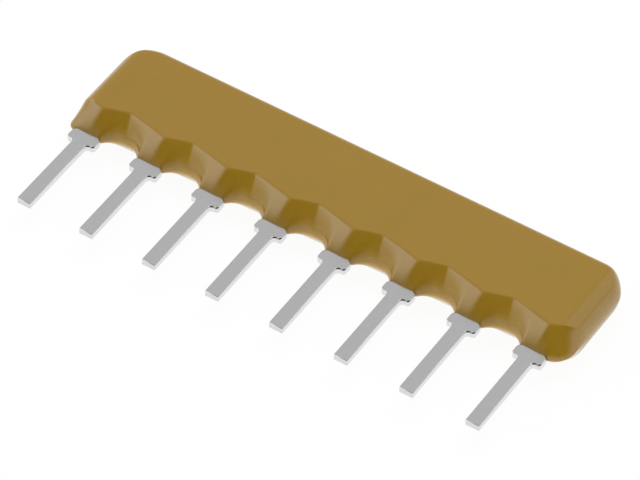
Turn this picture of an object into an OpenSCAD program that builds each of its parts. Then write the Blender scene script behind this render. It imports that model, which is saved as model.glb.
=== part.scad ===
// Single-in-line resistor network: thick-film resistors printed on a ceramic strip, flat clip leads
// in one row, and a dipped coating that follows the leads.
// Frame: +X runs along the lead row, the leads point to -Y, +Z is out of the front face.
// The part lies on its back: z = 0 is the back of the coating. Origin: bottom centre of the whole part.
// All sizes are millimetres.

/* [Lead row] */
// Number of leads
lead_count = 8; // [4:1:12]
// Spacing of neighbouring leads
lead_pitch = 2.54; // [2.4:0.01:2.8]

/* [Leads] */
// Width of the straight part of a lead
lead_width = 0.53; // [0.45:0.01:0.56]
// Thickness of the lead strip
lead_thickness = 0.25; // [0.2:0.01:0.3]
// Length from the seating edge of the shoulder to the tip
lead_length = 3.27; // [2.5:0.01:5]
// Width of the shoulder
shoulder_width = 1.12; // [1.06:0.01:1.2]
// Height of the shoulder above its seating edge
shoulder_height = 0.62; // [0.56:0.01:0.68]
// Rounding of the two upper corners of the shoulder
shoulder_round = 0.3; // [0.2:0.01:0.32]
// Rounding of the two lower corners of the shoulder
shoulder_edge_round = 0.1; // [0.04:0.01:0.12]
// Rounding in the corner between lead and shoulder
lead_fillet = 0.14; // [0.08:0.01:0.16]
// Bevel on the two corners of the sheared tip
tip_bevel = 0.02; // [0.01:0.01:0.1]

/* [Clip tines] */
// Width of the middle tine, on the front of the ceramic strip
front_tine_width = 0.36; // [0.3:0.01:0.38]
// Width of each of the two tines on the back of the ceramic strip
back_tine_width = 0.2; // [0.16:0.01:0.22]
// Slit between neighbouring tines
tine_slit = 0.04; // [0.02:0.01:0.05]
// Length of the tines along the ceramic strip
tine_reach = 0.9; // [0.75:0.01:1]

/* [Ceramic strip] */
// Thickness of the ceramic strip
strip_thickness = 0.635; // [0.5:0.005:0.7]
// Height of the strip's lower edge above the seating edge
strip_seat = 1.32; // [1.26:0.01:1.4]
// Length of strip past the centre of the first and the last lead
strip_margin = 0.46; // [0.44:0.01:0.5]
// Coating above the strip's upper edge
strip_top_cover = 0.5; // [0.46:0.01:0.6]

/* [Printed films] */
// Thickness of one printed layer
film_thickness = 0.02; // [0.015:0.001:0.03]
// Width of a solder pad
pad_width = 0.84; // [0.7:0.01:0.86]
// Pad past the end of the tine
pad_margin = 0.3; // [0.26:0.01:0.34]
// Width of the common track
bus_width = 0.36; // [0.25:0.01:0.42]
// Bare ceramic above the common track
bus_inset = 0.2; // [0.14:0.01:0.24]
// Width of the leg between the common track and the first pad
bus_leg_width = 0.5; // [0.3:0.01:0.7]
// Width of a resistor film
resistor_width = 0.8; // [0.6:0.01:0.8]
// Overlap of resistor film and conductor
film_lap = 0.12; // [0.08:0.01:0.14]
// Width of the laser-trim cut
trim_width = 0.06; // [0.04:0.01:0.1]
// Length of the laser-trim cut, as a share of the resistor width
trim_share = 0.45; // [0.2:0.01:0.6]
// Bare ceramic around the protective glaze
glaze_inset = 0.05; // [0.02:0.01:0.05]

/* [Solder] */
// Solder above the tine
solder_cover = 0.06; // [0.03:0.01:0.1]
// Solder past the end of the tine
solder_toe = 0.1; // [0.05:0.01:0.12]
// Bare pad beside the foot of the solder
solder_margin = 0.05; // [0.02:0.01:0.08]

/* [Coating] */
// Thickness over everything
coating_thickness = 1.9; // [1.8:0.01:2.3]
// Height from the seating edge of the leads to the top of the coating
coating_height = 4.72; // [4.6:0.01:4.95]
// Coating past the centre of the first lead
first_overhang = 0.86; // [0.8:0.01:1]
// Coating past the centre of the last lead
last_overhang = 1.16; // [1.05:0.01:1.25]
// Depth of the rounded upper edge
top_nose = 0.6; // [0.45:0.01:0.75]
// Depth of the rounded ends
end_nose = 0.68; // [0.5:0.01:0.78]
// Depth of the sloped lower edge between two leads
arch_nose = 0.82; // [0.65:0.01:0.95]
// Fullness of the sloped lower edge: 1 is a round edge, 2 is a straight bevel
edge_power = 1.25; // [1:0.01:1.5]
// Height of the lower edge between two leads
arch_height = 0.95; // [0.88:0.01:1.05]
// Height of the lower edge where it closes on a lead
neck_height = 0.44; // [0.36:0.01:0.5]
// Width of the coating where it closes on a lead
neck_width = 0.98; // [0.92:0.01:1.06]
// Steepness of the arch between two leads: more is a wider arch with steeper sides
arch_power = 2.5; // [2:0.1:3]
// Sharpness of the ridge over each lead: 1 has straight flanks, more is a narrower ridge
ridge_power = 1.1; // [1:0.05:1.5]
// Rounding of the ridge's crest
crest_round = 0.05; // [0.02:0.01:0.2]
// How far a crest leans along the row towards the face
crest_lean = 0.26; // [0:0.01:0.3]
// How far a valley leans the other way
valley_lean = 0.12; // [0:0.01:0.2]
// How much lower the slope starts on a ridge than between two leads, on the front
face_drop = 0.35; // [0.25:0.01:0.4]
// How quickly the ridge fades towards the back: 1 as far as the middle plane, more is sooner
back_power = 3; // [2:0.1:3.5]
// Rounding of the upper corner past the first lead
first_top_round = 1.35; // [1:0.01:1.5]
// Rounding of the upper corner past the last lead
last_top_round = 0.86; // [0.7:0.01:1.1]
// Rounding of the lower corner past the first lead
first_corner_round = 0.33; // [0.2:0.01:0.6]
// Rounding of the lower corner past the last lead
last_corner_round = 0.8; // [0.6:0.01:0.95]

/* [Hidden] */

row_half = (lead_count - 1) * lead_pitch / 2;
row_shift = (first_overhang - last_overhang) / 2;
seat_y = lead_length - (lead_length + coating_height) / 2;
mid_z = coating_thickness / 2;

strip_half = strip_thickness / 2;
strip_low = seat_y + strip_seat;
strip_top = seat_y + coating_height - strip_top_cover;
strip_left = row_shift - row_half - strip_margin;
strip_right = row_shift + row_half + strip_margin;
front_z = mid_z + strip_half;
film_z = front_z + film_thickness;
back_z = mid_z - strip_half;

tine_end = strip_low + tine_reach;
tine_slope_low = seat_y + shoulder_height;
tine_slope_high = strip_low - 0.04;
tine_top = film_z + lead_thickness;
solder_low = strip_low + solder_margin;
solder_high = tine_end + solder_toe;
pad_top = tine_end + pad_margin;
bus_high = strip_top - bus_inset;
bus_low = bus_high - bus_width;
bus_left = lead_x(1) - bus_leg_width / 2;
bus_right = lead_x(lead_count) + resistor_width / 2;
glaze_low = tine_end + (solder_toe + pad_margin - film_lap) / 2;

first_x = lead_x(1);
last_x = lead_x(lead_count);
coating_left = first_x - first_overhang;
coating_right = last_x + last_overhang;
coating_top = seat_y + coating_height;
arch_y = seat_y + arch_height;
neck_drop = arch_height - neck_height;
half_gap = (lead_pitch - neck_width) / 2;
// Share of the full thickness left on the flat strip that closes each end
end_flat = 0.17;
arc_steps = 6;
weld = 0.05;
// How quickly the flat end of a neck turns into the ridge above it
neck_fade = 4;

// Centre of lead k along the row
function lead_x(k) = row_shift - row_half + (k - 1) * lead_pitch;

// Points of an arc from angle a0 to a1
function arc(cx, cy, r, a0, a1, n = arc_steps) =
    [for (i = [0:n]) let (a = a0 + (a1 - a0) * i / n) [cx + r * cos(a), cy + r * sin(a)]];

// Flat outline of a lead: tip, straight part, fillets and shoulder
function lead_outline() =
    let (
        h = lead_width / 2,
        s = shoulder_width / 2,
        e = shoulder_edge_round,
        f = min(lead_fillet, s - e - h - 0.01),
        r = shoulder_round,
        top = shoulder_height
    )
    concat(
        [[-h + tip_bevel, -lead_length], [h - tip_bevel, -lead_length], [h, -lead_length + tip_bevel]],
        arc(h + f, -f, f, 180, 90),
        arc(s - e, e, e, -90, 0),
        arc(s - r, top - r, r, 0, 90),
        arc(-s + r, top - r, r, 90, 180),
        arc(-s + e, e, e, 180, 270),
        arc(-h - f, -f, f, 90, 0),
        [[-h, -lead_length + tip_bevel]]
    );

// Smooth step from 0 to 1
function ease(t) = let (u = min(1, max(0, t))) u * u * (3 - 2 * u);

// Middle line of a tine: rises from the shoulder to the face of the strip, then runs along it
function tine_path(rise) =
    let (span = tine_slope_high - tine_slope_low)
    concat(
        [[tine_slope_low - weld, 0]],
        [for (i = [0:10]) [tine_slope_low + span * i / 10, rise * ease(i / 10)]],
        [[strip_low, rise], [tine_end, rise]]
    );

// Offset of a path's points along their normals
function side(path, off) = [
    for (i = [0:len(path) - 1])
        let (
            a = path[max(0, i - 1)],
            b = path[min(len(path) - 1, i + 1)],
            d = b - a,
            n = norm(d)
        )
        [path[i][0] - off * d[1] / n, path[i][1] + off * d[0] / n]
];

function reversed(list) = [for (i = [len(list) - 1:-1:0]) list[i]];

function tine_outline(rise) =
    let (path = tine_path(rise))
    concat(side(path, lead_thickness / 2), reversed(side(path, -lead_thickness / 2)));

// Share of the arch's drop at x: 0 midway between leads, 1 on a neck and past the last lead
function arch_share(x) =
    let (
        k = min(lead_count, max(1, round((x - first_x) / lead_pitch) + 1)),
        d = x < first_x || x > last_x ? 0 : abs(x - lead_x(k)),
        g = min(1, max(0, (lead_pitch / 2 - d) / half_gap))
    )
    pow(g, arch_power);

// Share of the ridge's height at x: 1 on a crest and 0 in a valley; out is 0 at the face and 1 at the
// middle plane, and crests and valleys lean more the closer they come to the face
function ridge_share(x, out) =
    let (
        crest = crest_lean * (1 - out),
        valley = lead_pitch / 2 - valley_lean * (1 - out),
        k = min(lead_count - 1, max(-1, floor((x - crest - first_x) / lead_pitch))),
        past = x - first_x - k * lead_pitch,
        q = past > valley
            ? (lead_pitch + crest - past) / (lead_pitch + crest - valley)
            : (past - crest) / (valley - crest),
        c = 2 * crest_round / lead_pitch,
        near = sqrt(q * q + c * c) - c,
        deep = sqrt(1 + c * c) - c
    )
    pow(max(0, 1 - near / deep), ridge_power);

// Height lost at distance d from an end by a corner of radius r
function corner_drop(d, r) = d >= r ? 0 : r - sqrt(r * r - (r - d) * (r - d));

// Half thickness of the coating at distance d from an end
function half_thickness(d) =
    let (u = max(0, 1 - d / end_nose), full = sqrt(1 - end_flat * end_flat))
    mid_z * sqrt(1 - (u * full) * (u * full));

// Upper and lower edge of the coating's section at x, as angle runs from the middle plane to the face
function top_point(x, a) =
    let (
        d_first = x - coating_left,
        d_last = coating_right - x,
        fall = corner_drop(d_first, first_top_round) + corner_drop(d_last, last_top_round)
    )
    [
        coating_top - fall - top_nose * (1 - cos(a)),
        half_thickness(min(d_first, d_last)) * sin(a)
    ];
function low_point(x, a, behind) =
    let (
        d_first = x - coating_left,
        d_last = coating_right - x,
        out = pow(cos(a), edge_power),
        up = pow(sin(a), edge_power),
        w = pow(cos(a), neck_fade),
        share = (1 - w) * ridge_share(x, out) + w * arch_share(x),
        drop = behind ? neck_drop * pow(out, back_power) : face_drop + (neck_drop - face_drop) * out,
        rise = corner_drop(d_first, first_corner_round) + corner_drop(d_last, last_corner_round)
    )
    [
        arch_y + rise + arch_nose * (1 - out) - drop * share,
        half_thickness(min(d_first, d_last)) * up
    ];

top_steps = 5;
low_steps = 9;
// Upper and lower edge of one section, on the front or behind
function half_section(x, behind) = concat(
    [for (i = [0:top_steps]) top_point(x, 90 * i / top_steps)],
    [for (i = [low_steps:-1:0]) low_point(x, 90 * i / low_steps, behind)]
);
// One closed section of the coating in the plane x
function section(x) =
    let (front = half_section(x, false), back = half_section(x, true))
    concat(
        [for (p = front) [x, p[0], mid_z + p[1]]],
        [for (i = [len(back) - 2:-1:1]) [x, back[i][0], mid_z - back[i][1]]]
    );

// Places along the row where a section is taken, close together where the lower edge turns
gap_shares = [0, 0.15, 0.35, 0.6, 0.8, 0.92, 1];
function gap_stations(k) = concat(
    [lead_x(k), lead_x(k) + neck_width / 8, lead_x(k) + neck_width / 4],
    [for (i = [len(gap_shares) - 1:-1:0]) lead_x(k) + lead_pitch / 2 - half_gap * gap_shares[i]],
    [for (i = [1:len(gap_shares) - 1]) lead_x(k) + lead_pitch / 2 + half_gap * gap_shares[i]],
    [lead_x(k + 1) - neck_width / 4]
);
stations = concat(
    [for (a = [90:-11.25:11.25]) first_x - first_overhang * sin(a)],
    [for (k = [1:lead_count - 1]) each gap_stations(k)],
    [for (a = [0:9:90]) last_x + last_overhang * sin(a)]
);

// Solid through a row of closed sections with the same number of points
module loft(rings) {
    rows = len(rings);
    n = len(rings[0]);
    first_mid = (rings[0][0] + rings[0][top_steps + low_steps + 1]) / 2;
    last_mid = (rings[rows - 1][0] + rings[rows - 1][top_steps + low_steps + 1]) / 2;
    points = concat([for (ring = rings) each ring], [first_mid, last_mid]);
    walls = [
        for (r = [0:rows - 2], j = [0:n - 1])
            let (a = r * n + j, b = r * n + (j + 1) % n, c = a + n, d = b + n)
            each [[a, b, d], [a, d, c]]
    ];
    first_cap = [for (j = [0:n - 1]) [rows * n, (j + 1) % n, j]];
    last_cap = [for (j = [0:n - 1]) [rows * n + 1, (rows - 1) * n + j, (rows - 1) * n + (j + 1) % n]];
    polyhedron(points, concat(walls, first_cap, last_cap), convexity = 8);
}

// Box from its low corner to its high corner
module block(low, high) {
    translate(low) cube(high - low);
}

// Prism along X from an outline in Y and Z
module prism_x(x, width, outline) {
    translate([x - width / 2, 0, 0]) rotate([90, 0, 90]) linear_extrude(width) polygon(outline);
}

module front_tine(k) {
    rise = film_z - mid_z + lead_thickness / 2;
    translate([0, 0, mid_z]) prism_x(lead_x(k), front_tine_width, tine_outline(rise));
}

module back_tines(k) {
    rise = strip_half + lead_thickness / 2;
    offset_x = front_tine_width / 2 + tine_slit + back_tine_width / 2;
    for (way = [-1, 1])
        translate([0, 0, mid_z]) prism_x(lead_x(k) + way * offset_x, back_tine_width, tine_outline(-rise));
}

module lead(k) {
    color("silver") union() {
        translate([lead_x(k), seat_y, mid_z - lead_thickness / 2])
            linear_extrude(lead_thickness) polygon(lead_outline());
        front_tine(k);
        back_tines(k);
    }
}

module strip() {
    color("white")
        block([strip_left, strip_low, back_z], [strip_right, strip_top, front_z]);
}

module pad(k) {
    color("lightgray")
        block([lead_x(k) - pad_width / 2, strip_low, front_z], [lead_x(k) + pad_width / 2, pad_top, film_z]);
}

module common_track() {
    color("lightgray") union() {
        block([bus_left, bus_low, front_z], [bus_right, bus_high, film_z]);
        block(
            [bus_left, pad_top - weld, front_z],
            [bus_left + bus_leg_width, bus_low + weld, film_z]
        );
        pad(1);
    }
}

// Resistor k lies above lead k + 1 and laps over its pad and over the common track
module resistor(k) {
    x = lead_x(k + 1);
    low = pad_top - film_lap;
    high = bus_low + film_lap;
    cut_y = (pad_top + bus_low) / 2;
    color("dimgray") difference() {
        block(
            [x - resistor_width / 2, low, front_z],
            [x + resistor_width / 2, high, film_z + film_thickness]
        );
        block([bus_left, bus_low, front_z - 1], [bus_right + 1, bus_high, film_z]);
        block([x - pad_width / 2, strip_low, front_z - 1], [x + pad_width / 2, pad_top, film_z]);
        block(
            [x + resistor_width * (0.5 - trim_share), cut_y - trim_width / 2, front_z - 1],
            [x + resistor_width, cut_y + trim_width / 2, film_z + 1]
        );
    }
}

module glaze() {
    color("darkgreen", 0.6) difference() {
        glaze_block();
        common_track();
        for (k = [2:lead_count]) pad(k);
        for (k = [1:lead_count - 1]) resistor(k);
    }
}

// Outline of a solder joint across the row; the inner one leaves room for the tine
function solder_outline(k) =
    let (
        x = lead_x(k),
        foot = pad_width / 2 - solder_margin,
        crown = front_tine_width / 2 + solder_cover,
        high = tine_top + solder_cover
    )
    [[x - foot, film_z], [x - crown, high], [x + crown, high], [x + foot, film_z]];
function solder_arch(k) =
    let (x = lead_x(k), h = front_tine_width / 2)
    concat(solder_outline(k), [[x + h, film_z], [x + h, tine_top], [x - h, tine_top], [x - h, film_z]]);

// Prism along Y from an outline in X and Z
module prism_y(low, high, outline) {
    translate([0, high, 0]) rotate([90, 0, 0]) linear_extrude(high - low) polygon(outline);
}

module solder(k) {
    color("gainsboro") union() {
        prism_y(solder_low, tine_end, solder_arch(k));
        prism_y(tine_end, solder_high, solder_outline(k));
    }
}

module coating() {
    color("goldenrod") difference() {
        loft([for (x = stations) section(x)]);
        strip();
        common_track();
        for (k = [2:lead_count]) pad(k);
        glaze_block();
        for (k = [1:lead_count]) prism_y(solder_low, solder_high, solder_outline(k));
        for (k = [1:lead_count]) lead(k);
        for (k = [1:lead_count]) tine_seats(k);
    }
}

// Outside of the glaze with all it covers
module glaze_block() {
    block(
        [strip_left + glaze_inset, glaze_low, front_z],
        [strip_right - glaze_inset, strip_top - glaze_inset, film_z + 2 * film_thickness]
    );
}

// The places where the tines of lead k lie on the pad and on the back of the strip
module tine_seats(k) {
    inner = front_tine_width / 2 + tine_slit;
    block(
        [lead_x(k) - front_tine_width / 2, strip_low, front_z],
        [lead_x(k) + front_tine_width / 2, tine_end, film_z + lead_thickness / 2]
    );
    for (x = [lead_x(k) - inner - back_tine_width, lead_x(k) + inner])
        block([x, strip_low, back_z - lead_thickness / 2], [x + back_tine_width, tine_end, mid_z]);
}

coating();
strip();  // ceramic_strip
common_track();
for (k = [2:lead_count]) pad(k);
for (k = [1:lead_count - 1]) resistor(k);
glaze();
for (k = [1:lead_count]) lead(k);
for (k = [1:lead_count]) solder(k);
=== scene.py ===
"""Looks of a single-in-line resistor network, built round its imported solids.

The part lies on its back on a pale floor: a mustard dipped coating with one row of eight tinned leads.
Every size is in millimetres, in the frame of the solids, until a mesh is made in metres.
"""
import logging
import math
from dataclasses import dataclass
from enum import Enum
from typing import Any

import bmesh
import bpy
import numpy as np
from mathutils import Matrix, Vector


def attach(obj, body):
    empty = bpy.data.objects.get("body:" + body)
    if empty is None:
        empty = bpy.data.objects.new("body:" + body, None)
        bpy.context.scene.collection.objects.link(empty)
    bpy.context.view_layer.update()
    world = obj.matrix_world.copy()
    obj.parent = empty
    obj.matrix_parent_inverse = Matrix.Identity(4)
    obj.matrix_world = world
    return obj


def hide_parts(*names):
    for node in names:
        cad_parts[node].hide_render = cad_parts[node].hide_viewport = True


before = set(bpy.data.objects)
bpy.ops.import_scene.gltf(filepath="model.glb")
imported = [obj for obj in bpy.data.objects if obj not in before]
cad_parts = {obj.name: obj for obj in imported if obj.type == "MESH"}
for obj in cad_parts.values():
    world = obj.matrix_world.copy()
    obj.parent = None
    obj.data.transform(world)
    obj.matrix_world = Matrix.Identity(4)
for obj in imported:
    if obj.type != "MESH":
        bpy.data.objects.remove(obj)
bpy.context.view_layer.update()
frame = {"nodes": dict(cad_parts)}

LOG = logging.getLogger("resistor_network")
BODY = "root"
METRES = 0.001
WHITE = "#FFFFFF"
# Sockets of Blender's Mix node: its two values and its result, for numbers and for colours.
MIX_NUMBER = (2, 3, 0)
MIX_COLOUR = (6, 7, 2)
# Blender's noise stays mostly between these values.
NOISE_RANGE = (0.3, 0.7)


class Slot(Enum):
    """Material slots of the record."""

    COATING = "coating"
    ALUMINA = "alumina"
    CONDUCTOR = "conductor_film"
    RESISTOR = "resistor_film"
    GLAZE = "glaze"
    LEAD = "tinned_lead"
    SOLDER = "solder"


class Side(Enum):
    """Face of the ceramic strip that a tine lies on."""

    FRONT = 1.0
    BACK = -1.0


# ---------------------------------------------------------------- helpers


def linear(code: str) -> tuple[float, float, float, float]:
    """Turns an sRGB hex colour into linear light.

    Args:
        code: Six hex digits, with or without a leading hash.

    Returns:
        Linear red, green, blue and an alpha of 1.
    """
    digits = code.lstrip("#")
    parts = [int(digits[i : i + 2], 16) / 255 for i in (0, 2, 4)]
    light = [c / 12.92 if c <= 0.04045 else ((c + 0.055) / 1.055) ** 2.4 for c in parts]
    return light[0], light[1], light[2], 1.0


def per_mm(size: float) -> float:
    """Texture scale on Object coordinates, in metres, for a grain of this many millimetres."""
    return 1.0 / (size * METRES)


def add_node(
    tree: bpy.types.NodeTree,
    kind: str,
    settings: dict[str | int, Any] | None = None,
    links: dict[str | int, bpy.types.NodeSocket] | None = None,
) -> bpy.types.Node:
    """Adds a node, gives it its settings and links its inputs.

    Args:
        tree: Node tree that takes the node.
        kind: Blender's name of the node type.
        settings: Values by property name or, if the node has no such property, by the input's name or number.
        links: Output sockets by the name or number of the input that they feed.

    Returns:
        The new node.
    """
    node = tree.nodes.new(kind)
    for name, value in (settings or {}).items():
        if isinstance(name, str) and hasattr(node, name):
            setattr(node, name, value)
        else:
            node.inputs[name].default_value = value
    for name, socket in (links or {}).items():
        tree.links.new(socket, node.inputs[name])
    return node


def new_material(name: str) -> tuple[bpy.types.Material, bpy.types.NodeTree, bpy.types.Node]:
    """Makes an empty node material.

    Args:
        name: Name of the finish.

    Returns:
        The material, its node tree and the output node.
    """
    material = bpy.data.materials.new(name)
    material.use_nodes = True
    tree = material.node_tree
    tree.nodes.clear()
    return material, tree, add_node(tree, "ShaderNodeOutputMaterial")


def noise(
    tree: bpy.types.NodeTree, place: bpy.types.NodeSocket, scale: float, detail: float
) -> bpy.types.NodeSocket:
    """Adds a noise pattern.

    Args:
        tree: Node tree of the material.
        place: Coordinates that the pattern is laid on.
        scale: Grains to one unit of the coordinates.
        detail: Number of finer layers.

    Returns:
        The pattern, from 0 to 1.
    """
    settings = {"Scale": scale, "Detail": detail}
    return add_node(tree, "ShaderNodeTexNoise", settings, {"Vector": place}).outputs["Fac"]


def two_tones(
    tree: bpy.types.NodeTree,
    pattern: bpy.types.NodeSocket,
    places: tuple[float, float],
    codes: tuple[str, str],
) -> bpy.types.NodeSocket:
    """Colours a pattern with two tones.

    Args:
        tree: Node tree of the material.
        pattern: The pattern.
        places: Values of the pattern where the first and the second tone are full.
        codes: Hex colours of the two tones.

    Returns:
        The colour.
    """
    ramp = add_node(tree, "ShaderNodeValToRGB", links={"Fac": pattern})
    for stop, place, code in zip(ramp.color_ramp.elements, places, codes):
        stop.position, stop.color = place, linear(code)
    return ramp.outputs["Color"]


def close_surface(
    tree: bpy.types.NodeTree,
    output: bpy.types.Node,
    colour: bpy.types.NodeSocket,
    gloss: tuple[bpy.types.NodeSocket, tuple[float, float]],
    relief: tuple[bpy.types.NodeSocket, float],
    settings: dict[str | int, Any],
) -> None:
    """Adds the surface shader with a patterned gloss and a low relief, and links it to the output.

    Args:
        tree: Node tree of the material.
        output: Its output node.
        colour: Colour of the surface.
        gloss: Pattern of the gloss, and the roughness at its low and its high end.
        relief: Pattern of the relief, and its height in millimetres.
        settings: Constant inputs of the shader.
    """
    pattern, (smooth, rough) = gloss
    spread = {"From Min": NOISE_RANGE[0], "From Max": NOISE_RANGE[1], "To Min": smooth, "To Max": rough}
    roughness = add_node(tree, "ShaderNodeMapRange", spread, {"Value": pattern})
    shape, height = relief
    bump = add_node(
        tree, "ShaderNodeBump", {"Strength": 1.0, "Distance": height * METRES}, {"Height": shape}
    )
    links = {"Base Color": colour, "Roughness": roughness.outputs["Result"], "Normal": bump.outputs["Normal"]}
    shader = add_node(tree, "ShaderNodeBsdfPrincipled", settings, links)
    tree.links.new(shader.outputs["BSDF"], output.inputs["Surface"])


def direction(azimuth: float, elevation: float) -> Vector:
    """Unit vector towards a side and a height.

    Args:
        azimuth: Side in degrees, 0 at -Y and 90 at +X.
        elevation: Height above the horizon in degrees.

    Returns:
        The vector.
    """
    turn, climb = math.radians(azimuth), math.radians(elevation)
    return Vector((math.sin(turn) * math.cos(climb), -math.cos(turn) * math.cos(climb), math.sin(climb)))


def make_piece(name: str, points: np.ndarray, faces: list[list[int]]) -> bpy.types.Object:
    """Makes a smooth mesh object at the origin, with its place in its mesh and closed shells facing outward.

    Args:
        name: Name of the piece.
        points: Vertices in millimetres, one row each.
        faces: Vertex numbers of each face.

    Returns:
        The linked object.
    """
    mesh = bpy.data.meshes.new(name)
    mesh.from_pydata((points * METRES).tolist(), [], faces)
    mesh.validate()
    form = bmesh.new()
    form.from_mesh(mesh)
    bmesh.ops.recalc_face_normals(form, faces=form.faces[:])
    form.to_mesh(mesh)
    form.free()
    mesh.polygons.foreach_set("use_smooth", np.ones(len(mesh.polygons), dtype=bool))
    mesh.update()
    piece = bpy.data.objects.new(name, mesh)
    bpy.context.scene.collection.objects.link(piece)
    return piece


def grid_faces(rows: int, columns: int, start: int = 0) -> list[list[int]]:
    """Quads over a grid of vertices that is open along its rows and closed round its columns.

    Args:
        rows: Number of rings.
        columns: Vertices in one ring.
        start: Number of the first vertex.

    Returns:
        Vertex numbers of the quads.
    """
    ring = np.arange(columns)
    first = start + np.arange(rows - 1)[:, None] * columns + ring[None, :]
    second = start + np.arange(rows - 1)[:, None] * columns + np.roll(ring, -1)[None, :]
    quads = np.stack([first, second, second + columns, first + columns], axis=-1)
    return quads.reshape(-1, 4).tolist()


def arc(centre: tuple[float, float], radius: float, start: float, end: float, steps: int = 8) -> np.ndarray:
    """Points of an arc in a plane.

    Args:
        centre: Middle of the arc.
        radius: Its radius.
        start: First angle in degrees.
        end: Last angle in degrees.
        steps: Number of pieces.

    Returns:
        Points, one row each.
    """
    angle = np.radians(np.linspace(start, end, steps + 1))
    return np.stack([centre[0] + radius * np.cos(angle), centre[1] + radius * np.sin(angle)], axis=-1)


# ---------------------------------------------------------------- finishes


@dataclass(frozen=True)
class DippedEpoxy:
    """Mustard epoxy, dipped and cured: an even pigmented body under a smooth, self-levelled glossy skin."""

    name: str = "dipped_epoxy_mustard"
    body: str = "#97741F"
    shade: str = "#93731D"
    cloud_mm: float = 1.7
    pigment_mm: float = 0.09
    peel_mm: float = 0.55
    peel_height_mm: float = 0.0004
    grain_share: float = 0.35
    tones: tuple[float, float] = (0.45, 0.85)
    roughness: tuple[float, float] = (0.05, 0.09)
    ior: float = 1.62

    def material(self) -> bpy.types.Material:
        """Builds the material: clouded pigment, a levelled skin with a trace of orange peel."""
        material, tree, output = new_material(self.name)
        place = add_node(tree, "ShaderNodeTexCoord").outputs["Object"]
        # Pigment settles unevenly while the dip drains, which gives soft clouds a couple of millimetres wide.
        cloud = noise(tree, place, per_mm(self.cloud_mm), 2.0)
        # Pigment grains are a few microns; they are drawn coarser so that they show at all.
        grain = noise(tree, place, per_mm(self.pigment_mm), 1.0)
        mixing = {"operation": "MULTIPLY_ADD", 1: self.grain_share}
        blend = add_node(tree, "ShaderNodeMath", mixing, {0: grain, 2: cloud}).outputs["Value"]
        colour = two_tones(tree, blend, self.tones, (self.shade, self.body))
        # The skin levels itself but keeps a trace of orange peel, which softens the edges of reflections.
        peel = noise(tree, place, per_mm(self.peel_mm), 1.0)
        relief = (peel, self.peel_height_mm)
        close_surface(tree, output, colour, (cloud, self.roughness), relief, {"IOR": self.ior})
        return material


@dataclass(frozen=True)
class TinPlate:
    """Tin plate on rolled strip: satin grey metal, faint lines along the strip and a duller sheared tip."""

    name: str = "tin_plated_strip"
    bright: str = "#E2E2E3"
    dull: str = "#E0E0E1"
    sheared: str = "#DAD9D7"
    line_mm: float = 0.05
    line_length_mm: float = 1.2
    spot_mm: float = 0.16
    line_height_mm: float = 0.00002
    tones: tuple[float, float] = (0.35, 0.6)
    roughness: tuple[float, float] = (0.18, 0.23)
    tip_y_mm: float = -3.995
    sheared_mm: float = 0.035
    sheared_full: float = 0.4

    def material(self) -> bpy.types.Material:
        """Builds the material: rolled lines along Y, plating spots and the sheared tip."""
        material, tree, output = new_material(self.name)
        place = add_node(tree, "ShaderNodeTexCoord").outputs["Object"]
        grain = (per_mm(self.line_mm), per_mm(self.line_length_mm), per_mm(self.line_mm))
        stretch = add_node(tree, "ShaderNodeMapping", {"Scale": grain}, {"Vector": place})
        # Rolling leaves fine lines along the strip, which draw reflections out into a satin sheen.
        lines = noise(tree, stretch.outputs["Vector"], 1.0, 2.0)
        # Tin freezes in small crystals, which give the plate a faintly mottled grey.
        spots = noise(tree, place, per_mm(self.spot_mm), 3.0)
        colour = two_tones(tree, spots, self.tones, (self.dull, self.bright))
        # The pins are cut after plating, so their tips end in a duller sheared face.
        along = add_node(tree, "ShaderNodeSeparateXYZ", links={"Vector": place}).outputs["Y"]
        cut = {
            "From Min": (self.tip_y_mm + self.sheared_mm) * METRES,
            "From Max": (self.tip_y_mm + self.sheared_full * self.sheared_mm) * METRES,
            "To Min": 0.0,
            "To Max": 1.0,
        }
        tip = add_node(tree, "ShaderNodeMapRange", cut, {"Value": along}).outputs["Result"]
        plated, sheared, mixed = MIX_COLOUR
        paint = add_node(tree, "ShaderNodeMix", {"data_type": "RGBA"}, {0: tip, plated: colour})
        paint.inputs[sheared].default_value = linear(self.sheared)
        relief = (lines, self.line_height_mm)
        gloss = (lines, self.roughness)
        close_surface(tree, output, paint.outputs[mixed], gloss, relief, {"Metallic": 1.0})
        return material


@dataclass(frozen=True)
class FiredLayer:
    """A fired layer inside the coating: ceramic, printed film, glass or solder, with its own grain."""

    name: str
    light: str
    dark: str
    grain_mm: float
    roughness: tuple[float, float]
    metallic: float = 0.0
    ior: float = 1.5
    height_mm: float = 0.001
    tones: tuple[float, float] = (0.35, 0.65)

    def material(self) -> bpy.types.Material:
        """Builds the material: two close tones, a grain in the gloss and a low relief."""
        material, tree, output = new_material(self.name)
        place = add_node(tree, "ShaderNodeTexCoord").outputs["Object"]
        # One grain carries tone, gloss and relief, so light and matt spots fall together as in a fired layer.
        grain = noise(tree, place, per_mm(self.grain_mm), 3.0)
        colour = two_tones(tree, grain, self.tones, (self.dark, self.light))
        settings = {"Metallic": self.metallic, "IOR": self.ior}
        close_surface(tree, output, colour, (grain, self.roughness), (grain, self.height_mm), settings)
        return material


# As-fired alumina is a matt white with micron grains; the grain is drawn coarser so that it shows.
ALUMINA = FiredLayer("as_fired_alumina", "#EFEBE2", "#E4E0D6", 0.08, (0.45, 0.6), ior=1.76)
# Fired silver-palladium film keeps the weave of its printing screen as a dull, slightly grainy grey metal.
CONDUCTOR = FiredLayer("fired_silver_film", "#BDBAB2", "#A5A29B", 0.06, (0.4, 0.55), metallic=1.0)
# Fired ruthenium oxide film is a near-black glassy ink with a fine grain.
RESISTOR = FiredLayer("fired_resistor_ink", "#24242A", "#17171B", 0.06, (0.3, 0.5))
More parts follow.
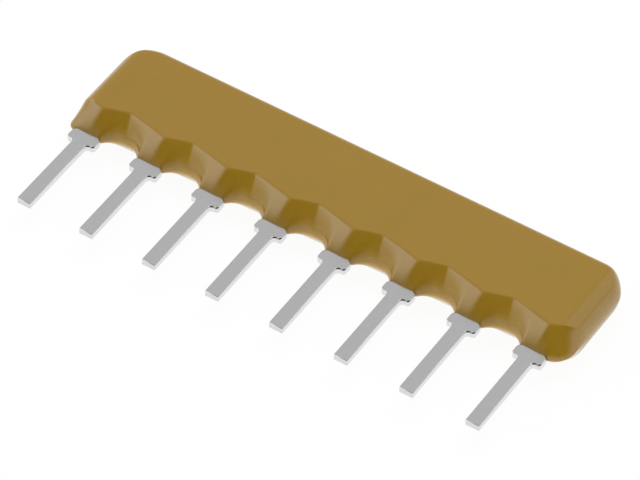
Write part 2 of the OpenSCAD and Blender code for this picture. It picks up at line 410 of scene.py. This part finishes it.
# Low-melting protective glass is fired over the films: a thin smooth green glaze.
GLAZE = FiredLayer("green_over_glaze", "#3F6A50", "#335C45", 0.3, (0.08, 0.16), ior=1.52, height_mm=0.0004)
# Reflowed solder freezes into a bright, slightly rippled metal.
SOLDER = FiredLayer("reflowed_solder", "#CBCBCD", "#B7B7BA", 0.12, (0.18, 0.32), metallic=1.0)


# ---------------------------------------------------------------- the part


@dataclass(frozen=True)
class LeadRow:
    """Shared places of the part: the row of leads, the seating line and the middle plane."""

    count: int = 8
    pitch: float = 2.54
    first_overhang: float = 0.86
    last_overhang: float = 1.16
    lead_length: float = 3.27
    coating_height: float = 4.72
    thickness: float = 1.9

    @property
    def shift(self) -> float:
        """Place of the row's middle along X."""
        return (self.first_overhang - self.last_overhang) / 2

    @property
    def seat_y(self) -> float:
        """Place of the shoulders' seating edge along Y."""
        return (self.lead_length - self.coating_height) / 2

    @property
    def mid_z(self) -> float:
        """Height of the middle plane."""
        return self.thickness / 2

    @property
    def lead_x(self) -> np.ndarray:
        """Centres of the leads along X."""
        return self.shift + (np.arange(self.count) - (self.count - 1) / 2) * self.pitch


@dataclass(frozen=True)
class DippedCoating:
    """The dipped coating: a long pillow with round edges, a ridge over each lead and an arch between two."""

    row: LeadRow
    top_nose: float = 0.48
    end_nose: float = 0.68
    arch_nose: float = 0.6
    low_round: float = 0.2
    last_low_round: float = 0.7
    face_round: float = 0.15
    arch_height: float = 0.87
    neck_height: float = 0.44
    neck_width: float = 0.98
    arch_power: float = 2.5
    ridge_power: float = 1.1
    face_drop: float = 0.26
    back_power: float = 3.0
    crest_round: float = 0.05
    crest_lean: float = 0.22
    valley_lean: float = 0.12
    neck_fade: float = 7.0
    first_top_round: float = 1.35
    last_top_round: float = 0.86
    first_corner_round: float = 0.33
    last_corner_round: float = 0.8
    end_flat: float = 0.03
    gap_steps: int = 22
    neck_steps: int = 5
    end_steps: int = 30
    top_steps: int = 18
    face_steps: int = 6
    low_steps: int = 34

    @property
    def ends(self) -> tuple[float, float]:
        """First and last place of the coating along X."""
        x = self.row.lead_x
        return float(x[0] - self.row.first_overhang), float(x[-1] + self.row.last_overhang)

    def stations(self) -> np.ndarray:
        """Places along X where a ring is taken, closest where the lower edge turns down to a lead."""
        x = self.row.lead_x
        half_gap = (self.row.pitch - self.neck_width) / 2
        bend = half_gap * np.sin(np.linspace(-np.pi / 2, np.pi / 2, 2 * self.gap_steps + 1))
        neck = np.linspace(-self.neck_width / 2, self.neck_width / 2, 2 * self.neck_steps + 1)[1:-1]
        turn = np.sin(np.linspace(0, np.pi / 2, self.end_steps + 1))
        gaps = (x[:-1, None] + self.row.pitch / 2 + bend[None, :]).ravel()
        necks = (x[1:-1, None] + neck[None, :]).ravel()
        first = x[0] - self.row.first_overhang * turn
        last = x[-1] + self.row.last_overhang * turn
        edge_first = np.linspace(x[0], x[0] + self.neck_width / 2, self.neck_steps + 1)[1:-1]
        edge_last = np.linspace(x[-1] - self.neck_width / 2, x[-1], self.neck_steps + 1)[1:-1]
        return np.unique(np.round(np.concatenate([first, edge_first, gaps, necks, edge_last, last]), 6))

    @staticmethod
    def corner_drop(distance: np.ndarray, radius: float) -> np.ndarray:
        """Height lost at a distance from an end by a round corner: the sagitta of its circle."""
        inside = radius - np.minimum(distance, radius)
        return radius - np.sqrt(np.maximum(radius**2 - inside**2, 0.0))

    def ridge_share(self, x: np.ndarray, out: np.ndarray) -> np.ndarray:
        """Height share of the ridges: 1 on a crest, 0 in the valley between two, with straight flanks.

        Towards the face the crests lean to +X and the valleys to -X, so the flank that faces -X widens.

        Args:
            x: Places along the row, as a column.
            out: How far the edge has turned from the face (0) to the middle plane (1), as a row.

        Returns:
            The share for each place and each turn.
        """
        row = self.row
        half = row.pitch / 2
        crest = self.crest_lean * (1 - out)
        valley = half - self.valley_lean * (1 - out)
        lead = np.clip(np.floor((x - crest - row.lead_x[0]) / row.pitch), -1, len(row.lead_x) - 1)
        past = x - row.lead_x[0] - lead * row.pitch
        rising = past > valley
        span = np.where(rising, row.pitch + crest - valley, valley - crest)
        share = np.abs(np.where(rising, row.pitch + crest - past, past - crest)) / span
        near = np.hypot(share, self.crest_round / half) - self.crest_round / half
        deep = math.hypot(1.0, self.crest_round / half) - self.crest_round / half
        return np.maximum(0.0, 1 - near / deep) ** self.ridge_power

    def surface(self) -> np.ndarray:
        """Works out the rings of the coating.

        The upper edge is a quarter ellipse from the middle plane to the face. The lower edge is a straight
        slope from the middle plane to the face, with both its ends rounded by hyperbolas; past the last lead
        the end at the middle plane is rounder. It lies at the arch height between two leads and drops to the
        neck height on a lead. In the middle plane the drop follows an arch, the distance from the gap's
        middle raised to a power. Towards the face it fades into straight leaning ridges, which still drop by
        face_drop at the front face and fade out on the back. The thickness closes at both ends as an
        ellipse, and the corners lose the sagitta of a circle.

        Returns:
            Points of the rings, as rows, columns and coordinates.
        """
        row, x = self.row, self.stations()
        left, right = self.ends
        to_left, to_right = x - left, right - x
        to_end = np.minimum(to_left, to_right)
        shut = np.maximum(0.0, 1 - to_end / self.end_nose) * math.sqrt(1 - self.end_flat**2)
        half = (row.mid_z * np.sqrt(1 - shut**2))[:, None]
        away = np.abs(x[:, None] - row.lead_x[None, :]).min(axis=1)
        inside = (x > row.lead_x[0]) & (x < row.lead_x[-1])
        from_gap = row.pitch / 2 - np.where(inside, away, 0.0)
        gap = np.clip(from_gap / ((row.pitch - self.neck_width) / 2), 0.0, 1.0)
        arch = (gap**self.arch_power)[:, None]
        rise = self.corner_drop(to_left, self.first_corner_round)
        rise = rise + self.corner_drop(to_right, self.last_corner_round)

        angle = np.linspace(0, np.pi / 2, self.top_steps + 1)[None, :]
        fall = self.corner_drop(to_left, self.first_top_round)
        fall = fall + self.corner_drop(to_right, self.last_top_round)
        top_y = row.seat_y + row.coating_height - fall[:, None]
        top_y = top_y - self.top_nose * (1 - np.cos(angle))
        top_z = half * np.sin(angle)

        angle = np.linspace(np.pi / 2, 0, self.low_steps + 1)[None, :]
        crest = self.ridge_share(x[:, None], np.ones((1, 1)))
        last = np.where(x > row.lead_x[-1], self.last_low_round, self.low_round)[:, None]
        bend = last + (self.low_round - last) * crest
        along, turn = np.sin(angle), self.face_round
        out = 1 - (np.hypot(along, bend) - bend) / (np.hypot(1.0, bend) - bend)
        rise_share = 1 - (np.hypot(1 - along, turn) - turn) / (math.hypot(1.0, turn) - turn)
        middle = np.clip(np.cos(angle), 0, 1) ** self.neck_fade
        share = (1 - middle) * self.ridge_share(x[:, None], out) + middle * arch
        base_y = row.seat_y + self.arch_height + rise[:, None] + self.arch_nose * (1 - out)
        depth = self.arch_height - self.neck_height
        low_y = base_y - (self.face_drop + (depth - self.face_drop) * out) * share
        back_y = base_y - depth * out**self.back_power * share
        low_z = half * rise_share

        across = np.linspace(0, 1, self.face_steps + 1)[None, 1:-1]
        face_y = top_y[:, -1:] * (1 - across) + low_y[:, :1] * across
        rear_y = top_y[:, -1:] * (1 - across) + back_y[:, :1] * across
        face_z = half * np.ones_like(across)

        front_y = np.concatenate([top_y, face_y, low_y], axis=1)
        behind_y = np.concatenate([top_y, rear_y, back_y], axis=1)
        front_z = np.concatenate([top_z, face_z, low_z], axis=1)
        ring_y = np.concatenate([front_y, behind_y[:, -2:0:-1]], axis=1)
        ring_z = np.concatenate([front_z, -front_z[:, -2:0:-1]], axis=1) + row.mid_z
        ring_x = np.repeat(x[:, None], ring_y.shape[1], axis=1)
        return np.stack([ring_x, ring_y, ring_z], axis=-1)

    def build(self) -> bpy.types.Object:
        """Makes the coating's mesh, closes its two ends and dresses it."""
        rings = self.surface()
        rows, columns, _ = rings.shape
        half = columns // 2
        upper = np.arange(half)
        lower = (columns - upper) % columns
        cap = np.stack([upper, upper + 1, (columns - upper - 1) % columns, lower], axis=-1)
        caps = [list(dict.fromkeys(face)) for face in cap.tolist()]
        far = [[v + (rows - 1) * columns for v in face] for face in caps]
        sides = [face[::-1] for face in grid_faces(rows, columns)]
        faces = sides + caps + [face[::-1] for face in far]
        piece = make_piece("dipped_coating", rings.reshape(-1, 3), faces)
        piece.data.materials.append(DippedEpoxy().material())
        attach(piece, BODY)
        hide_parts("coating")
        return piece


@dataclass(frozen=True)
class ClipLead:
    """One stamped lead: straight pin, rounded shoulder and three tines that clip the ceramic strip."""

    row: LeadRow
    number: int
    width: float = 0.53
    thickness: float = 0.25
    shoulder_width: float = 1.12
    shoulder_height: float = 0.62
    shoulder_round: float = 0.3
    shoulder_edge_round: float = 0.1
    fillet: float = 0.14
    tip_bevel: float = 0.02
    edge_round: float = 0.02
    die_roll: float = 0.09
    roll_gain: float = 1.4
    roll_reach: float = 1.05
    roll_steps: int = 6
    face_lip: float = 0.012
    front_tine_width: float = 0.36
    back_tine_width: float = 0.2
    tine_slit: float = 0.04
    tine_reach: float = 0.9
    tine_root: float = 0.05
    tine_run_in: float = 0.04
    tine_bevel: float = 0.03
    climb_steps: int = 16
    strip_seat: float = 1.32
    strip_thickness: float = 0.635
    film_thickness: float = 0.02

    def outline(self) -> np.ndarray:
        """Flat outline from the tip up the right side, over the shoulder and back: lines joined by arcs."""
        half, wing = self.width / 2, self.shoulder_width / 2
        length, top = self.row.lead_length, self.shoulder_height
        low, high = self.shoulder_edge_round, self.shoulder_round
        fillet, bevel = self.fillet, self.tip_bevel
        parts = [
            np.array([[-half + bevel, -length], [half - bevel, -length], [half, -length + bevel]]),
            arc((half + fillet, -fillet), fillet, 180, 90),
            arc((wing - low, low), low, -90, 0),
            arc((wing - high, top - high), high, 0, 90),
            arc((-wing + high, top - high), high, 90, 180),
            arc((-wing + low, low), low, 180, 270),
            arc((-half - fillet, -fillet), fillet, 90, 0),
            np.array([[-half, -length + bevel]]),
        ]
        return np.concatenate(parts)

    def plate(self) -> tuple[np.ndarray, list[list[int]]]:
        """Works out the stamped plate: the outline carried round a profile with rolled edges.

        Each outline point moves inwards along its mitred normal as the profile turns from the front face
        over a quarter circle to the side, and over another to the back face.

        Returns:
            Vertices and faces.
        """
        flat = self.outline()
        edge = np.roll(flat, -1, axis=0) - flat
        edge = edge / np.linalg.norm(edge, axis=1, keepdims=True)
        normal = np.stack([edge[:, 1], -edge[:, 0]], axis=-1)
        before = np.roll(normal, 1, axis=0)
        mitre = (normal + before) / (1 + (normal * before).sum(axis=1, keepdims=True))
        # The punch draws the front edge down deepest under the wings of the shoulder.
        under = np.clip(self.roll_gain * np.abs(mitre[:, 1]), 0, 1)
        under = under * (flat[:, 1] > -self.roll_reach * self.fillet)
        under = under * ((flat[:, 0] > 0) | (mitre[:, 1] > 0))
        front = self.edge_round + (self.die_roll - self.edge_round) * under
        back = np.full_like(front, self.edge_round)
        turn = np.linspace(0, np.pi / 2, self.roll_steps + 1)[:, None]
        half = self.thickness / 2
        face = np.full((1, len(front)), half)
        inset = np.concatenate(
            [
                front[None] + self.face_lip,
                front * (1 - np.sin(turn)),
                back * (1 - np.sin(turn[::-1])),
                back[None] + self.face_lip,
            ]
        )
        level = np.concatenate(
            [face, half - front * (1 - np.cos(turn)), back * (1 - np.cos(turn[::-1])) - half, -face]
        )
        plane = flat[None, :, :] - inset[:, :, None] * mitre[None, :, :]
        place = np.array([self.row.lead_x[self.number - 1], self.row.seat_y, self.row.mid_z])
        points = np.concatenate([plane, level[:, :, None]], axis=-1) + place
        rows, columns = level.shape
        faces = [face[::-1] for face in grid_faces(rows, columns)]
        faces.append(list(range(columns)))
        faces.append(list(range(rows * columns - 1, (rows - 1) * columns - 1, -1)))
        return points.reshape(-1, 3), faces

    def tine(self, side: Side, offset: float, width: float) -> tuple[np.ndarray, list[list[int]]]:
        """Works out a tine: a bevelled strip section carried along its bent path.

        The path leaves the shoulder's middle plane, climbs to the face of the strip as a smooth step and
        then runs along it.

        Args:
            side: Face of the ceramic strip that the tine lies on.
            offset: Distance of the tine's middle from the lead's middle, along X.
            width: Width of the tine.

        Returns:
            Vertices and faces.
        """
        row, half = self.row, self.thickness / 2
        film = self.film_thickness if side is Side.FRONT else 0.0
        climb = side.value * (self.strip_thickness / 2 + film + half)
        low = row.seat_y + self.shoulder_height
        strip_low = row.seat_y + self.strip_seat
        share = np.linspace(0, 1, self.climb_steps + 1)
        step_y = low + (strip_low - self.tine_run_in - low) * share
        path_y = np.concatenate([[low - self.tine_root], step_y, [strip_low, strip_low + self.tine_reach]])
        path_z = np.concatenate([[0.0], climb * share**2 * (3 - 2 * share), [climb, climb]])
        along = np.stack([np.gradient(path_y), np.gradient(path_z)], axis=-1)
        along = along / np.linalg.norm(along, axis=1, keepdims=True)
        wide, bevel = width / 2, self.tine_bevel
        across = np.array([wide - bevel, wide, wide, wide - bevel, bevel - wide, -wide, -wide, bevel - wide])
        deep = np.array([-half, bevel - half, half - bevel, half, half, half - bevel, bevel - half, -half])
        x = np.repeat(across[None, :], len(path_y), axis=0) + row.lead_x[self.number - 1] + offset
        y = path_y[:, None] - deep[None, :] * along[:, 1:]
        z = path_z[:, None] + deep[None, :] * along[:, :1] + row.mid_z
        points = np.stack([x, y, z], axis=-1)
        rows, columns = points.shape[:2]
        faces = grid_faces(rows, columns)
        faces.append(list(range(columns - 1, -1, -1)))
        faces.append(list(range((rows - 1) * columns, rows * columns)))
        return points.reshape(-1, 3), faces

    def build(self, finish: bpy.types.Material) -> bpy.types.Object:
        """Makes the lead's mesh from its plate and tines and dresses it.

        Args:
            finish: Material of the tinned strip.

        Returns:
            The lead.
        """
        beside = self.front_tine_width / 2 + self.tine_slit + self.back_tine_width / 2
        shells = [
            self.plate(),
            self.tine(Side.FRONT, 0.0, self.front_tine_width),
            self.tine(Side.BACK, -beside, self.back_tine_width),
            self.tine(Side.BACK, beside, self.back_tine_width),
        ]
        points = np.concatenate([shell[0] for shell in shells])
        starts = np.cumsum([0] + [len(shell[0]) for shell in shells[:-1]]).tolist()
        faces = [[v + start for v in face] for start, shell in zip(starts, shells) for face in shell[1]]
        piece = make_piece(f"clip_lead_{self.number}", points, faces)
        piece.data.materials.append(finish)
        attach(piece, BODY)
        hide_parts(f"lead_{self.number}")
        return piece


@dataclass(frozen=True)
class PrintedCircuit:
    """The circuit inside the coating: ceramic strip, printed films, glaze and solder, kept as solids."""

    nodes: dict[str, bpy.types.Object]

    def dress(self) -> list[str]:
        """Gives each inner solid the finish of its kind.

        Returns:
            Names of the dressed solids.
        """
        finishes = {
            "ceramic": ALUMINA.material(),
            "common": CONDUCTOR.material(),
            "resistor": RESISTOR.material(),
            "glaze": GLAZE.material(),
            "solder": SOLDER.material(),
        }
        finishes["pad"] = finishes["common"]
        dressed = []
        for name, node in sorted(self.nodes.items()):
            finish = finishes.get(name.split("_")[0])
            if finish is not None:
                node.data.materials.clear()
                node.data.materials.append(finish)
                dressed.append(name)
        return dressed


# ---------------------------------------------------------------- studio


@dataclass(frozen=True)
class Zone:
    """A patch of the surroundings with a level of its own, which fades in over its four borders.

    Sides are in degrees, 0 at -Y and 90 at +X, and heights in degrees above the horizon. Each border is a
    pair of angles: where the patch starts and where it is full.
    """

    first_side: tuple[float, float]
    last_side: tuple[float, float]
    top: tuple[float, float]
    bottom: tuple[float, float]
    level: float


@dataclass(frozen=True)
class Lamp:
    """A large soft lamp: its side and height in degrees, and its light on white that faces it."""

    name: str
    azimuth: float
    elevation: float
    level: float


@dataclass(frozen=True)
class Studio:
    """Light table as a pale floor, soft surroundings, three lamps and the camera of the picture."""

    azimuth: float = 33.40
    elevation: float = 47.45
    distance: float = 168.4
    focal_px: float = 5066.7
    image_width: float = 640.0
    aim: tuple[float, float] = (0.72, 0.28)
    target: tuple[float, float, float] = (-0.15, -0.725, 1.075)
    floor_size: float = 6000.0
    floor_colour: str = "#F4F4F4"
    white_share: float = 0.95
    floor_gap: float = 0.01
    sensor_width: float = 36.0
    clip: tuple[float, float] = (0.001, 20.0)
    back_level: float = 0.57
    # White sweep on the right, soft box on the left, dim room round the camera; each covers those before it.
    zones: tuple[Zone, ...] = (
        Zone((98, 112), (176, 150), (80, 60), (0, 12), 1.0),
        Zone((-115, -92), (-18, -50), (54, 36), (-6, 28), 2.05),
        Zone((-30, -6), (116, 98), (84, 62), (0, 16), 0.03),
    )
    # Above and behind, low on the right, and below the floor in front.
    lamps: tuple[Lamp, ...] = (
        Lamp("top_lamp", 180.0, 78.0, 0.58),
        Lamp("fill_lamp", 85.0, 18.0, 0.2),
        Lamp("table_lamp", 0.0, -45.0, 1.1),
    )
    lamp_distance: float = 400.0
    lamp_size: float = 380.0

    def floor(self) -> bpy.types.Object:
        """Makes the pale floor: a light table, near white to the eye, that keeps the part's faint shadow."""
        half, low = self.floor_size / 2, -self.floor_gap
        corners = np.array([[-half, -half, low], [half, -half, low], [half, half, low], [-half, half, low]])
        floor = make_piece("floor", corners, [[0, 1, 2, 3]])
        # The lamp below shines through the table.
        floor.visible_shadow = False
        material, tree, output = new_material("pale_floor")
        path = add_node(tree, "ShaderNodeLightPath").outputs
        seen = path["Is Camera Ray"]
        for ray in ("Is Glossy Ray", "Is Transmission Ray"):
            either = {0: seen, 1: path[ray]}
            seen = add_node(tree, "ShaderNodeMath", {"operation": "MAXIMUM"}, either).outputs[0]
        share = add_node(tree, "ShaderNodeMath", {"operation": "MULTIPLY", 1: self.white_share}, {0: seen})
        paper = add_node(tree, "ShaderNodeBsdfDiffuse", {"Color": linear(self.floor_colour)})
        glow = add_node(tree, "ShaderNodeEmission", {"Color": linear(WHITE), "Strength": 1.0})
        layers = {0: share.outputs[0], 1: paper.outputs["BSDF"], 2: glow.outputs["Emission"]}
        mix = add_node(tree, "ShaderNodeMixShader", links=layers)
        tree.links.new(mix.outputs["Shader"], output.inputs["Surface"])
        floor.data.materials.append(material)
        return floor

    def light(self) -> None:
        """Makes the surroundings: an even level with the zones laid over it, by side and height."""
        world = bpy.data.worlds.new("soft_studio")
        bpy.context.scene.world = world
        world.use_nodes = True
        tree = world.node_tree
        tree.nodes.clear()
        way = add_node(tree, "ShaderNodeTexCoord").outputs["Generated"]
        part = add_node(tree, "ShaderNodeSeparateXYZ", links={"Vector": way}).outputs
        toward = add_node(tree, "ShaderNodeMath", {"operation": "MULTIPLY", 1: -1.0}, {0: part["Y"]})
        sideways = {0: part["X"], 1: toward.outputs[0]}
        turn = add_node(tree, "ShaderNodeMath", {"operation": "ARCTAN2"}, sideways)
        climb = add_node(tree, "ShaderNodeMath", {"operation": "ARCSINE"}, {0: part["Z"]})

        def ramp(source: bpy.types.NodeSocket, start: float, end: float) -> bpy.types.NodeSocket:
            """Smooth step from 0 to 1 between two angles in degrees."""
            settings = {
                "interpolation_type": "SMOOTHSTEP",
                "From Min": math.radians(min(start, end)),
                "From Max": math.radians(max(start, end)),
                "To Min": 0.0 if start < end else 1.0,
                "To Max": 1.0 if start < end else 0.0,
            }
            return add_node(tree, "ShaderNodeMapRange", settings, {"Value": source}).outputs["Result"]

        def product(*sockets: bpy.types.NodeSocket) -> bpy.types.NodeSocket:
            """Product of several values."""
            result = sockets[0]
            for socket in sockets[1:]:
                factors = {0: result, 1: socket}
                result = add_node(tree, "ShaderNodeMath", {"operation": "MULTIPLY"}, factors).outputs[0]
            return result

        side, height = turn.outputs[0], climb.outputs[0]
        below, above, mixed = MIX_NUMBER
        total = add_node(tree, "ShaderNodeValue").outputs[0]
        total.default_value = self.back_level
        for zone in self.zones:
            share = product(
                ramp(side, *zone.first_side),
                ramp(side, *zone.last_side),
                ramp(height, *zone.top),
                ramp(height, *zone.bottom),
            )
            mix = add_node(tree, "ShaderNodeMix", {"data_type": "FLOAT"}, {0: share, below: total})
            mix.inputs[above].default_value = zone.level
            total = mix.outputs[mixed]
        back = add_node(tree, "ShaderNodeBackground", {"Color": linear(WHITE)}, {"Strength": total})
        output = add_node(tree, "ShaderNodeOutputWorld")
        tree.links.new(back.outputs["Background"], output.inputs["Surface"])

    def hang(self, lamp: Lamp) -> bpy.types.Object:
        """Makes a lamp that lights surfaces without a mirror image of its own.

        Args:
            lamp: The lamp's name, direction and level.

        Returns:
            The lamp's object.
        """
        way = direction(lamp.azimuth, lamp.elevation)
        data = bpy.data.lights.new(lamp.name, "AREA")
        data.shape = "DISK"
        data.size = self.lamp_size * METRES
        data.energy = lamp.level * (math.pi * self.lamp_distance * METRES) ** 2
        hung = bpy.data.objects.new(lamp.name, data)
        hung.location = way * self.lamp_distance * METRES
        hung.rotation_euler = way.to_track_quat("Z", "Y").to_euler()
        hung.visible_glossy = False
        bpy.context.scene.collection.objects.link(hung)
        return hung

    def camera(self) -> bpy.types.Object:
        """Makes the camera at the picture's angle, with its long lens."""
        back = direction(self.azimuth, self.elevation)
        turn = math.radians(self.azimuth)
        right = Vector((math.cos(turn), math.sin(turn), 0.0))
        up = back.cross(right)
        place = Vector(self.target) + right * self.aim[0] + up * self.aim[1] + back * self.distance
        data = bpy.data.cameras.new("camera")
        data.sensor_fit = "HORIZONTAL"
        data.sensor_width = self.sensor_width
        data.lens = self.focal_px / self.image_width * data.sensor_width
        data.clip_start, data.clip_end = self.clip
        camera = bpy.data.objects.new("camera", data)
        axes = Matrix((right, up, back)).transposed().to_4x4()
        camera.matrix_world = Matrix.Translation(place * METRES) @ axes
        bpy.context.scene.collection.objects.link(camera)
        bpy.context.scene.camera = camera
        return camera

    def set_up(self) -> None:
        """Sets the view transform and makes the floor, the surroundings, the lamps and the camera."""
        bpy.context.scene.view_settings.view_transform = "Standard"
        self.floor()
        self.light()
        for lamp in self.lamps:
            self.hang(lamp)
        self.camera()


def main() -> None:
    """Builds the studio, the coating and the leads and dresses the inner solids."""
    logging.basicConfig(level=logging.INFO, format="%(name)s: %(message)s")
    row = LeadRow()
    Studio().set_up()
    coating = DippedCoating(row).build()
    LOG.info("%s: %d faces", coating.name, len(coating.data.polygons))
    tin = TinPlate().material()
    for number in range(1, row.count + 1):
        lead = ClipLead(row, number).build(tin)
        LOG.info("%s: %d faces", lead.name, len(lead.data.polygons))
    for name in PrintedCircuit(frame["nodes"]).dress():
        LOG.info("%s: dressed", name)


if __name__ == "__main__":
    main()
